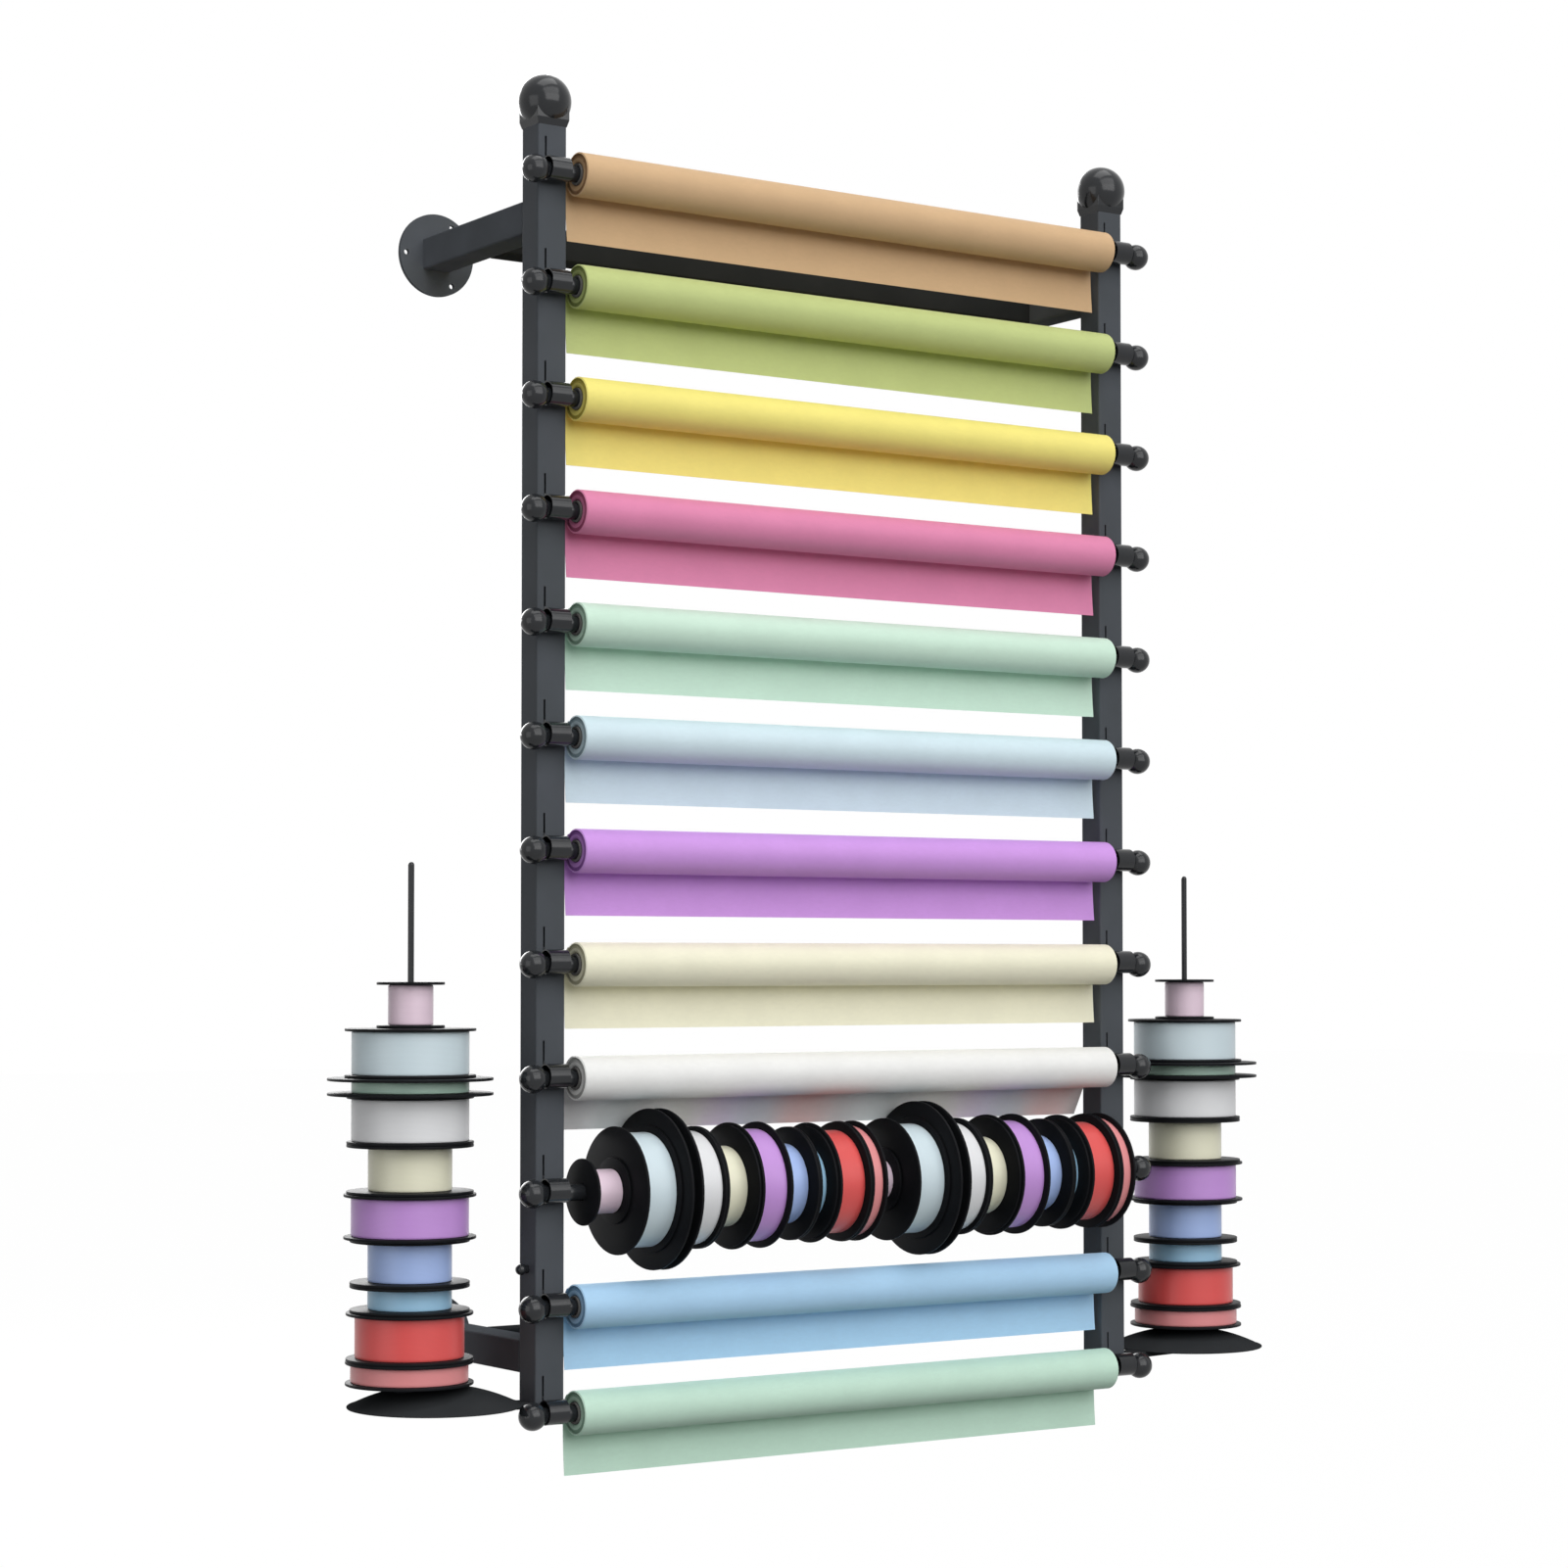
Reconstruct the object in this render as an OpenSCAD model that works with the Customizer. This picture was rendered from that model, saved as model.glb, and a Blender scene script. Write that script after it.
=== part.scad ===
// Wall rack for wrapping paper: two slotted posts carry twelve rods, and each rod lies in two hooked
// sockets. Eleven rods hold paper rolls, one holds ribbon spools, and a domed tray on each side holds
// a stack of ribbon spools on a spindle.
// X runs along the rods, +Y points into the wall and +Z is up. The origin lies on the wall, in the
// middle between the posts and midway between the upper and lower arms. Lengths are in millimetres.

/* [Paper] */
// Width of the paper, which sets how far apart the posts stand
paper_w = 660; // [450:10:900]
// Free space between a roll's end and the post beside it
side_gap = 4; // [4:1:30]
// Outside diameter of a wound roll
roll_d = 43; // [38:1:54]
// Wall of the cardboard core
core_wall = 2; // [1:0.5:3]
// How far the core stands out of the wound paper at each end
core_proud = 1; // [0.5:0.5:4]
// Length of the loose end below the point where it leaves the roll
sheet_drop = 62.5; // [40:0.5:72]
// The same length of the loose end that leans on the ribbon spools
lean_drop = 72; // [50:1:80]
// Thickness that stands for the paper
sheet_t = 0.6; // [0.4:0.1:1]
// Angle of the roll's back that the loose end still lies on
sheet_wrap = 50; // [20:1:80]

/* [Posts] */
// Outside width of the square post tube
post_size = 32; // [28:1:40]
// Wall of the square tubes
tube_wall = 2; // [1.5:0.5:3]
// Outside corner radius of the square tubes
corner_r = 2; // [1:0.5:4]
// Height of the post above the top rod
post_above = 48; // [46:1:90]
// Length of the post below the lowest rod
post_below = 8; // [8:1:40]
// Thickness of the cap on the lower end of a post
cap_t = 2; // [1:0.5:4]
// Depth of the cap's plug inside the post
cap_plug = 5; // [3:0.5:5]
// Diameter of the ball on top of a post
finial_d = 53; // [46:1:60]
// Middle of the ball above the end of the post
finial_rise = 26; // [22:1:28]
// How far the collar below the ball stands out around the post
collar_lip = 2; // [1:0.5:4]
// Height over which the collar widens
collar_flare = 7; // [3:0.5:10]
// Height of the collar, whose corners run up into the ball
collar_h = 17; // [12:0.5:18]
// Depth of the finial's plug inside the post
finial_plug = 10; // [8:1:20]

/* [Rods] */
// Distance from one paper rod to the next
rod_pitch = 110; // [102:1:150]
// Distance between the last two rods
last_pitch = 102; // [98:1:150]
// Diameter of a rod
rod_d = 16; // [12:1:20]
// Diameter of the ball knobs on the rods
knob_d = 27.5; // [22:0.5:29]
// Middle of a knob outside the post's outer face
knob_out = 10; // [10:1:20]

/* [Sockets] */
// Room around the rod inside a socket, on the diameter
socket_play = 5.6; // [2:0.2:8]
// Wall of the socket tube
socket_wall = 1.2; // [1:0.1:3]
// Length of the socket tube
socket_len = 22; // [21:1:24]
// Middle of the socket tube outside the middle of its post
socket_out = 2; // [0:0.5:2]
// Space between the socket tube and the face of the post
socket_gap = 0.3; // [0.2:0.1:2]
// Thickness of the hook plate
hook_t = 1.5; // [1:0.5:3]
// Height of the hook plate where it passes through the slot
hook_h = 12; // [10:1:18]
// Length of the hook behind the wall of the post
hook_drop = 6; // [3:0.5:6]
// Thickness of the hook behind the wall of the post
hook_depth = 3; // [2:0.5:5]
// Slot left of the middle of the post's face
slot_off = 7.5; // [4:0.5:8]
// Foot of the slot above the socket's axis
slot_foot = 2; // [1.5:0.5:4]
// Top of the slot above the socket's axis
slot_rise = 34; // [32:0.5:38]

/* [Wall arms] */
// Length of an arm from the wall to the back of the post
arm_len = 209; // [150:1:300]
// Outside width of the arm tube
arm_size = 32; // [26:1:40]
// Upper arms below the top rod
top_arm_drop = 39; // [30:1:80]
// Lower arms above the lowest rod
bottom_arm_rise = 53; // [40:1:80]
// Outside width of the crossbeam tube
beam_size = 32; // [20:1:40]
// Middle of a crossbeam behind the back of the posts
beam_back = 105; // [60:5:120]
// Diameter of a wall flange
flange_d = 85; // [80:1:110]
// Thickness of a wall flange
flange_t = 4; // [3:0.5:6]
// Circle through the flange's screw holes
flange_pcd = 70; // [66:1:72]
// Diameter of the flange's screw holes
flange_hole_d = 5.5; // [4:0.5:7]

/* [Ribbon trays] */
// Diameter of the domed dish
dish_d = 167; // [160:1:220]
// Height of the dome
dish_rise = 20; // [14:1:30]
// Thickness of the dish
dish_t = 1.5; // [1:0.5:3]
// Diameter of the rolled edge of the dish
dish_bead = 2; // [2:0.5:6]
// Free space between the right dish and the outer face of its post
tray_gap = 33.5; // [26:0.5:60]
// Spindle behind the middle of the post
tray_back = 20; // [0:1:40]
// Edge of the dish above the lowest rod
tray_rise = 11; // [8:1:30]
// Diameter of the neck that the spools stand on
neck_d = 30; // [24:1:40]
// Height of the neck above the dome
neck_h = 2; // [2:0.5:8]
// Width of the bar that carries the dish
bar_w = 25; // [16:1:26]
// Thickness of the bar
bar_t = 6; // [4:0.5:8]
// Diameter of the spindle
spindle_d = 6; // [4:0.5:9]
// Length of the spindle above the neck
spindle_h = 494; // [420:1:600]

/* [Ribbon spools] */
// Thickness of a spool's flanges
spool_flange_t = 2; // [1:0.5:3]
// Wall of a spool's hub
spool_hub_wall = 2; // [1:0.5:4]
// How much the row of spools on the rod is shorter than a roll, at each end
row_inset = 8; // [2:1:20]
// Space between the largest spools on the rod and the rolls above and below them
spool_space = 9.5; // [5:0.5:30]

/* [Screws] */
// Diameter of the ball head of the screw on the left post
screw_head_d = 11; // [9:0.5:13]
// Middle of the ball head outside the post
screw_head_out = 7; // [7:0.5:12]
// Diameter of the shoulder between the ball head and the post
screw_neck_d = 8; // [7:0.5:9]
// Diameter of the screw's shank
screw_d = 5; // [4:0.5:6]
// Length of the screw's shank
screw_len = 12; // [8:1:18]
// Height of the screw above the last rod but one
screw_rise = 36; // [20:1:70]

/* [Clearances] */
// Gap between pieces that rest on each other but move apart
seat_gap = 0.3; // [0.2:0.1:0.6]
// Gap around a rod inside a core or a spool
run_gap = 0.5; // [0.3:0.1:1]
// Gap between wound layers and what they are wound on
wrap_gap = 0.2; // [0.1:0.1:0.4]
// Gap around plugs, hooks and screws
fit_gap = 0.3; // [0.2:0.1:0.5]

/* [Hidden] */
$fn = 64;
rod_count = 12;
// Position of the rod that carries ribbon
spool_rod = 10;
papers = [for (k = [1 : rod_count]) if (k != spool_rod) k];
// Each spool from the free end of its set: flange diameter, ribbon diameter, width, ribbon colour
spool_rows = [
    [65, 43, 44, "thistle"],
    [125, 112, 47, "lightcyan"],
    [158, 112, 17, "darkgray"],
    [121, 112, 46, "whitesmoke"],
    [121, 80, 47, "lemonchiffon"],
    [126, 112, 43, "plum"],
    [114, 80, 43, "lightsteelblue"],
    [114, 80, 26, "skyblue"],
    [121, 104, 46, "indianred"],
    [122, 112, 23, "lightcoral"]
];
spool_count = len(spool_rows);
paper_colors = [
    "burlywood", "darkkhaki", "khaki", "palevioletred", "honeydew", "lightcyan",
    "plum", "cornsilk", "whitesmoke", "dimgray", "lightskyblue", "honeydew"
];
frame_color = "dimgray";
spool_color = "black";

function two_digits(k) = k < 10 ? str("0", k) : str(k);
function numbered(name, k) = str(name, "_", two_digits(k));
function sum_to(list, n) = n <= 0 ? 0 : list[n - 1] + sum_to(list, n - 1);

// Posts and wall
post_spacing = paper_w + 2 * side_gap + post_size;
post_outer = post_spacing / 2 + post_size / 2;
post_back = -arm_len;
post_mid = post_back - post_size / 2;
post_front = post_back - post_size;
bore_corner_r = max(corner_r - tube_wall, 0.5);
plug_size = post_size - 2 * tube_wall - 2 * fit_gap;

// Heights of the rods
roll_r = roll_d / 2;
spool_big_r = max([for (row = spool_rows) row[0]]) / 2;
spool_pitch = roll_r + spool_big_r + spool_space;
rod_steps = [
    for (k = [1 : rod_count - 1])
        k == spool_rod - 1 || k == spool_rod ? spool_pitch : k == rod_count - 1 ? last_pitch : rod_pitch
];
rod_span = sum_to(rod_steps, rod_count - 1);
arm_z = (rod_span - top_arm_drop - bottom_arm_rise) / 2;
function rod_z(k) = arm_z + top_arm_drop - sum_to(rod_steps, k - 1);
post_top = rod_z(1) + post_above;
post_bottom = rod_z(rod_count) - post_below;

// Rods and sockets
socket_bore = rod_d + socket_play;
socket_d = socket_bore + 2 * socket_wall;
socket_lift = socket_bore / 2 - rod_d / 2 - seat_gap;
rod_y = post_front - socket_gap - socket_d / 2;
knob_x = post_outer + knob_out;
slot_w = hook_t + 2 * fit_gap;
slot_h = slot_rise - slot_foot;
hook_bottom = slot_foot + fit_gap;
web_top = socket_d / 3;

// Rolls and loose ends
core_r = rod_d / 2 + run_gap;
sheet_r = roll_r + seat_gap;
// Turn of the leaning end about its roll, at which its lower edge rests on the largest spools
lean_reach = norm([sheet_r, lean_drop]);
lean_cos = (pow(lean_reach, 2) + pow(spool_pitch, 2) - pow(spool_big_r + seat_gap, 2))
    / (2 * lean_reach * spool_pitch);
sheet_lean = max(0, acos(min(1, lean_cos)) - atan2(sheet_r, lean_drop));

// Spools
spool_bore_r = rod_d / 2 + run_gap;
spool_hub_r = spool_bore_r + spool_hub_wall;
stack_h = sum_to([for (row = spool_rows) row[2]], spool_count);
rod_set_w = paper_w / 2 - row_inset - wrap_gap;

// Trays
tray_x = post_outer + tray_gap + dish_d / 2;
tray_y = post_mid + tray_back;
rim_z = rod_z(rod_count) + tray_rise;
dome_z = rim_z + dish_rise;
neck_z = dome_z + neck_h;
dome_r = (pow(dish_d / 2, 2) + pow(dish_rise, 2)) / (2 * dish_rise);
bore_depth = neck_h + dish_rise - bar_t / 2;
// The left dish lies off its spindle, as near the post as the lowest knob lets it
knob_slice = sqrt(max(0, pow(knob_d / 2, 2) - pow(tray_rise - dish_bead / 2 - seat_gap, 2)));
knob_room = dish_d / 2 + knob_slice + seat_gap;
near_dish_x = max(
    post_outer + dish_d / 2 + seat_gap,
    knob_x + sqrt(max(0, pow(knob_room, 2) - pow(tray_y - rod_y, 2)))
);
function dish_x(side) = side < 0 ? -min(tray_x, near_dish_x) : tray_x;

sides = [["left", -1], ["right", 1]];
levels = [["top", 1], ["bottom", -1]];

// Square with round corners and its middle at the origin
module rounded_square(size, r) {
    square([size - 2 * r, size], center = true);
    square([size, size - 2 * r], center = true);
    for (x = [-1, 1])
        for (y = [-1, 1])
            translate([x, y] * (size / 2 - r))
                circle(r = r);
}

// Square tube along +Z from the origin, with its middle on the axis
module square_tube(size, length) {
    linear_extrude(length)
        difference() {
            rounded_square(size, corner_r);
            rounded_square(size - 2 * tube_wall, bore_corner_r);
        }
}

// Square block along +Z from the origin, with its middle on the axis
module square_block(size, height, r) {
    linear_extrude(height)
        rounded_square(size, r);
}

// Cylinder along X, with its middle at the origin
module bar_x(d, length) {
    rotate([0, 90, 0])
        cylinder(d = d, h = length, center = true);
}

// Left edge of the slot on a post, which both posts have on the same hand
function slot_x(side) = side * post_spacing / 2 - slot_off - slot_w / 2;
function socket_z(k) = rod_z(k) + socket_lift;
function socket_x(side) = side * (post_spacing / 2 + socket_out);
function screw_z() = rod_z(rod_count - 1) + screw_rise;

module post(side) {
    color(frame_color)
        difference() {
            translate([side * post_spacing / 2, post_mid, post_bottom])
                square_tube(post_size, post_top - post_bottom);
            for (k = [1 : rod_count])
                translate([slot_x(side), post_front - 1, socket_z(k) + slot_foot])
                    cube([slot_w, tube_wall + 2, slot_h]);
            if (side < 0)
                translate([-post_outer + tube_wall / 2, post_mid, screw_z()])
                    bar_x(screw_d + 2 * fit_gap, 2 * tube_wall);
        }
}

// Square collar that widens upwards from the size of the post
module finial_collar() {
    wide = post_size + 2 * collar_lip;
    intersection() {
        square_block(wide, collar_h, bore_corner_r);
        for_each_way()
            linear_extrude(2 * wide, center = true)
                polygon([
                    [-post_size / 2, 0],
                    [post_size / 2, 0],
                    [wide / 2, collar_flare],
                    [wide / 2, collar_h],
                    [-wide / 2, collar_h],
                    [-wide / 2, collar_flare]
                ]);
    }
}

// What an upright outline swept along X and along Y has in common
module for_each_way() {
    intersection() {
        rotate([90, 0, 0])
            children();
        rotate([90, 0, 90])
            children();
    }
}

// Ball on a collar, with a plug that goes into the post
module finial(side) {
    cut_z = collar_flare / 2;
    color(frame_color)
        translate([side * post_spacing / 2, post_mid, post_top]) {
            finial_collar();
            translate([0, 0, -finial_plug])
                square_block(plug_size, finial_plug + cut_z, bore_corner_r);
            difference() {
                translate([0, 0, finial_rise])
                    sphere(d = finial_d);
                translate([-finial_d, -finial_d, cut_z - finial_d])
                    cube([2 * finial_d, 2 * finial_d, finial_d]);
            }
        }
}

module post_end_caps() {
    color(frame_color)
        for (s = sides)
            translate([s[1] * post_spacing / 2, post_mid, post_bottom]) {
                translate([0, 0, -cap_t])
                    square_block(post_size, cap_t, corner_r);
                translate([0, 0, -cap_t / 2])
                    square_block(plug_size, cap_plug + cap_t / 2, bore_corner_r);
            }
}

// Ball-headed screw in the outer face of the left post
module clamp_screws() {
    color(frame_color)
        translate([-post_outer, post_mid, screw_z()])
            rotate([0, -90, 0]) {
                translate([0, 0, -screw_len])
                    cylinder(d = screw_d, h = screw_len + screw_head_out / 2);
                cylinder(d = screw_neck_d, h = screw_head_out);
                translate([0, 0, screw_head_out])
                    sphere(d = screw_head_d);
            }
}

module crossbeam(level) {
    length = post_spacing - arm_size;
    color(frame_color)
        translate([-length / 2, post_back + beam_back, level * arm_z])
            rotate([0, 90, 0])
                square_tube(beam_size, length);
}

// Arm tube with its flange on the wall, one screw hole on the outer side
module wall_arm(side, level) {
    color(frame_color)
        translate([side * post_spacing / 2, 0, level * arm_z])
            rotate([90, 0, 0])
                difference() {
                    union() {
                        cylinder(d = flange_d, h = flange_t);
                        translate([0, 0, flange_t / 2])
                            square_tube(arm_size, arm_len - flange_t / 2);
                    }
                    for (turn = [0, 120, 240])
                        rotate(turn)
                            translate([side * flange_pcd / 2, 0, -1])
                                cylinder(d = flange_hole_d, h = flange_t + 2);
                }
}

// Outline of the hook plate: web behind the tube, tongue through the slot, hook behind the wall
module hook_outline() {
    back = tube_wall + fit_gap;
    translate([-socket_d / 2, hook_bottom])
        square([socket_d / 2, web_top - hook_bottom]);
    translate([-fit_gap, hook_bottom])
        square([back + hook_depth + fit_gap, hook_h]);
    translate([back, hook_bottom - hook_drop])
        square([hook_depth, hook_drop + hook_h]);
}

module socket(side) {
    difference() {
        union() {
            bar_x(socket_d, socket_len);
            translate([slot_x(side) - socket_x(side) + fit_gap, socket_d / 2 + socket_gap, 0])
                rotate([90, 0, 90])
                    linear_extrude(hook_t)
                        hook_outline();
        }
        bar_x(socket_bore, socket_len + 2);
    }
}

module sockets(side) {
    color(frame_color)
        for (k = [1 : rod_count])
            translate([socket_x(side), rod_y, socket_z(k)])
                socket(side);
}

// Straight rod with a ball knob on each end
module rod(k) {
    color(frame_color)
        translate([0, rod_y, rod_z(k)])
            rotate([0, 90, 0]) {
                cylinder(d = rod_d, h = 2 * knob_x, center = true);
                for (s = sides)
                    translate([0, 0, s[1] * knob_x])
                        sphere(d = knob_d);
            }
}

// Tube along X between two radii, with its middle at the origin
module sleeve_x(inner_r, outer_r, length) {
    difference() {
        bar_x(2 * outer_r, length);
        bar_x(2 * inner_r, length + 2);
    }
}

module paper_roll(k) {
    translate([0, rod_y, rod_z(k)]) {
        color("tan")
            sleeve_x(core_r, core_r + core_wall, paper_w + 2 * core_proud);
        color(paper_colors[k - 1])
            sleeve_x(core_r + core_wall + wrap_gap, roll_r, paper_w);
    }
}

// Side outline of a loose end: a band on the back of the roll, then straight down
module sheet_outline(drop) {
    intersection() {
        difference() {
            circle(r = sheet_r + sheet_t);
            circle(r = sheet_r);
        }
        polygon([
            [0, 0],
            [2 * roll_d, 0],
            [2 * roll_d * cos(sheet_wrap), 2 * roll_d * sin(sheet_wrap)]
        ]);
    }
    translate([sheet_r, -drop])
        square([sheet_t, drop + sheet_t / 4]);
}

// The loose end above the ribbon rod leans back, with its lower edge on the largest spools
module paper_sheet(k) {
    leans = k == spool_rod - 1;
    color(paper_colors[k - 1])
        translate([-paper_w / 2, rod_y, rod_z(k)])
            rotate([90, 0, 90])
                linear_extrude(paper_w)
                    rotate(leans ? sheet_lean : 0)
                        sheet_outline(leans ? lean_drop : sheet_drop);
}

// Thin domed dish on a neck, with a bar below it that runs to the post
module ribbon_tray(side) {
    color(frame_color)
        difference() {
            union() {
                translate([dish_x(side), tray_y, 0])
                    dish();
                translate([side * tray_x, tray_y, 0]) {
                    translate([0, 0, rim_z + dish_rise / 2])
                        cylinder(d = neck_d, h = neck_h + dish_rise / 2);
                    translate([0, 0, rim_z - bar_t / 2])
                        cylinder(d = neck_d / 2, h = dish_rise);
                }
                translate([0, 0, rim_z - bar_t])
                    linear_extrude(bar_t)
                        tray_bar_outline(side);
            }
            translate([side * tray_x, tray_y, neck_z - bore_depth])
                cylinder(d = spindle_d + 2 * fit_gap, h = bore_depth + 1);
        }
}

module dish() {
    intersection() {
        translate([0, 0, dome_z - dome_r])
            difference() {
                sphere(r = dome_r, $fn = 128);
                sphere(r = dome_r - dish_t, $fn = 128);
            }
        translate([0, 0, rim_z])
            cylinder(d = dish_d + dish_bead, h = dish_rise + 1);
    }
    translate([0, 0, rim_z])
        rotate_extrude()
            translate([dish_d / 2 - dish_bead / 2, 0])
                circle(d = dish_bead);
}

module tray_bar_outline(side) {
    face = side * post_outer;
    middle = side * tray_x;
    polygon([
        [face, post_mid - bar_w / 2],
        [middle, tray_y - bar_w / 2],
        [middle, tray_y + bar_w / 2],
        [face, post_mid + bar_w / 2]
    ]);
    translate([middle, tray_y])
        circle(d = bar_w);
}

// Round bar with a domed top, standing in the neck of the tray
module spindle(side) {
    foot = neck_z - bore_depth;
    color(frame_color)
        translate([side * tray_x, tray_y, 0]) {
            translate([0, 0, foot])
                cylinder(d = spindle_d, h = neck_z + spindle_h - foot);
            translate([0, 0, neck_z + spindle_h])
                sphere(d = spindle_d);
        }
}

// The spools of one set run down from the origin; share narrows them to fit their place
function spool_top(i, share) = -share * sum_to([for (row = spool_rows) row[2]], i);

module spool_set(share) {
    for (i = [0 : spool_count - 1]) {
        flange_r = spool_rows[i][0] / 2;
        width = share * spool_rows[i][2] - wrap_gap;
        color(spool_color)
            translate([0, 0, spool_top(i, share) - width])
                rotate_extrude()
                    polygon([
                        [spool_bore_r, 0],
                        [flange_r, 0],
                        [flange_r, spool_flange_t],
                        [spool_hub_r, spool_flange_t],
                        [spool_hub_r, width - spool_flange_t],
                        [flange_r, width - spool_flange_t],
                        [flange_r, width],
                        [spool_bore_r, width]
                    ]);
    }
}

module ribbon_set(share) {
    for (i = [0 : spool_count - 1]) {
        width = share * spool_rows[i][2] - wrap_gap;
        edge = spool_flange_t + wrap_gap;
        color(spool_rows[i][3])
            translate([0, 0, spool_top(i, share) - width + edge])
                difference() {
                    cylinder(d = spool_rows[i][1], h = width - 2 * edge);
                    translate([0, 0, -1])
                        cylinder(r = spool_hub_r + wrap_gap, h = width + 2);
                }
    }
}

// Places a set along the ribbon rod, in its left or right half
module on_rod(side) {
    translate([side < 0 ? -rod_set_w - wrap_gap / 2 : wrap_gap / 2, rod_y, rod_z(spool_rod)])
        rotate([0, -90, 0])
            children();
}

// Places a set on the neck of a tray
module on_tray(side) {
    translate([side * tray_x, tray_y, neck_z + seat_gap + stack_h])
        children();
}

for (s = sides) {
    post(s[1]);
    finial(s[1]);
    sockets(s[1]);
    ribbon_tray(s[1]);
    spindle(s[1]);
    on_rod(s[1]) spool_set(rod_set_w / stack_h);
    on_rod(s[1]) ribbon_set(rod_set_w / stack_h);
    on_tray(s[1]) spool_set(1);
    on_tray(s[1]) ribbon_set(1);
}
for (l = levels) {
    crossbeam(l[1]);
    for (s = sides)
        wall_arm(s[1], l[1]);
}
post_end_caps();
clamp_screws();
for (k = [1 : rod_count])
    rod(k);
for (k = papers) {
    paper_roll(k);
    paper_sheet(k);
}
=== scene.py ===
import math
import random

import bpy
from mathutils import Matrix, Vector


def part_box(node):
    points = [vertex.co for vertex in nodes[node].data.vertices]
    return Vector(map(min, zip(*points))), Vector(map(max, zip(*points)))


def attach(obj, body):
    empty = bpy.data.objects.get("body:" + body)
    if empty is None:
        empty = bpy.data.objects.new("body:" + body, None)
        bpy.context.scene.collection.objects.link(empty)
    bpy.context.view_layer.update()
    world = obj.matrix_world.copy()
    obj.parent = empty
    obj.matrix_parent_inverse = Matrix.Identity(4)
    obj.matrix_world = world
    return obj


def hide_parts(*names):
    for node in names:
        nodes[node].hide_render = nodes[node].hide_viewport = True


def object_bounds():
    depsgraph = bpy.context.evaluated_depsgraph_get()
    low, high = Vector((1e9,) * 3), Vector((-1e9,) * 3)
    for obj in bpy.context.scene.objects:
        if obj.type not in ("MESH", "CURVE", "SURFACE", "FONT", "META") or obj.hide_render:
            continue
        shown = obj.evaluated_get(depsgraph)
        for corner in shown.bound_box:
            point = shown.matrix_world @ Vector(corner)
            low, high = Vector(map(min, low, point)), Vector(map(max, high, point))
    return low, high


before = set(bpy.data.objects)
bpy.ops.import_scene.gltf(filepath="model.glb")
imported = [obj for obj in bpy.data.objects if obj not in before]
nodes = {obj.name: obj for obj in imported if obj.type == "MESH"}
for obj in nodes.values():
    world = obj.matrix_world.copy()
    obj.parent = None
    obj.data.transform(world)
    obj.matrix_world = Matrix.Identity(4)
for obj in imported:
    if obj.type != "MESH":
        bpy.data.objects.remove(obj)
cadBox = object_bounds()
mm = 0.001
sides = ("left", "right")
spoolRod = 10  # carries ribbon spools, every other rod carries paper
largestSpool = 3  # in each set of ten
paperRods = [k for k in range(1, 13) if k != spoolRod]
random.seed(12)
print("rack loaded,", len(nodes), "nodes")


# Small helpers

def hexColor(code):  # sRGB hex to the linear colour that the shaders want
    shares = [int(code[i:i + 2], 16) / 255 for i in (1, 3, 5)]
    return (*[c / 12.92 if c <= 0.04045 else ((c + 0.055) / 1.055) ** 2.4 for c in shares], 1.0)


def darker(color, share):
    return (*[c * share for c in color[:3]], 1)


def addNode(tree, kind, inputs=None, **settings):
    node = tree.nodes.new(kind)
    for name, value in settings.items():
        setattr(node, name, value)
    for name, value in (inputs or {}).items():
        if isinstance(value, bpy.types.NodeSocket):
            tree.links.new(value, node.inputs[name])
        else:
            node.inputs[name].default_value = value
    return node


def startMaterial(name, **sockets):  # a socket's name is given with _ for each space
    material = bpy.data.materials.new(name)
    material.use_nodes = True
    shader = material.node_tree.nodes["Principled BSDF"]
    for socket, value in sockets.items():
        shader.inputs[socket.replace("_", " ")].default_value = value
    return material, material.node_tree, shader


def deselectAll():
    if bpy.context.object and bpy.context.object.mode != "OBJECT":
        bpy.ops.object.mode_set(mode="OBJECT")
    bpy.ops.object.select_all(action="DESELECT")


def makeActive(obj):
    deselectAll()
    obj.select_set(True)
    bpy.context.view_layer.objects.active = obj


def settle(obj, name):  # the place goes into the mesh, the object stays at the origin
    makeActive(obj)
    bpy.ops.object.transform_apply(location=True, rotation=True, scale=True)
    obj.name = name
    obj.data.name = name
    return obj


def selectFaces(obj, test):  # leaves the piece in edit mode
    makeActive(obj)
    bpy.ops.object.mode_set(mode="EDIT")
    bpy.ops.mesh.select_mode(type="FACE")
    bpy.ops.mesh.select_all(action="DESELECT")
    bpy.ops.object.mode_set(mode="OBJECT")
    for face in obj.data.polygons:
        face.select = test(face)
    bpy.ops.object.mode_set(mode="EDIT")


def copyPiece(obj, name, offset):  # a copy has a mesh of its own, moved to its place
    twin = obj.copy()
    twin.data = obj.data.copy()
    twin.data.transform(Matrix.Translation(offset))
    twin.name = name
    twin.data.name = name
    bpy.context.scene.collection.objects.link(twin)
    return twin


def paint(obj, *materials):
    if obj.data.materials:  # clearing also forgets which face has which material
        obj.data.materials.clear()
    for material in materials:
        obj.data.materials.append(material)


def smooth(obj, degrees):
    makeActive(obj)
    bpy.ops.object.shade_smooth_by_angle(angle=math.radians(degrees))


# Camera and stage

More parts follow.
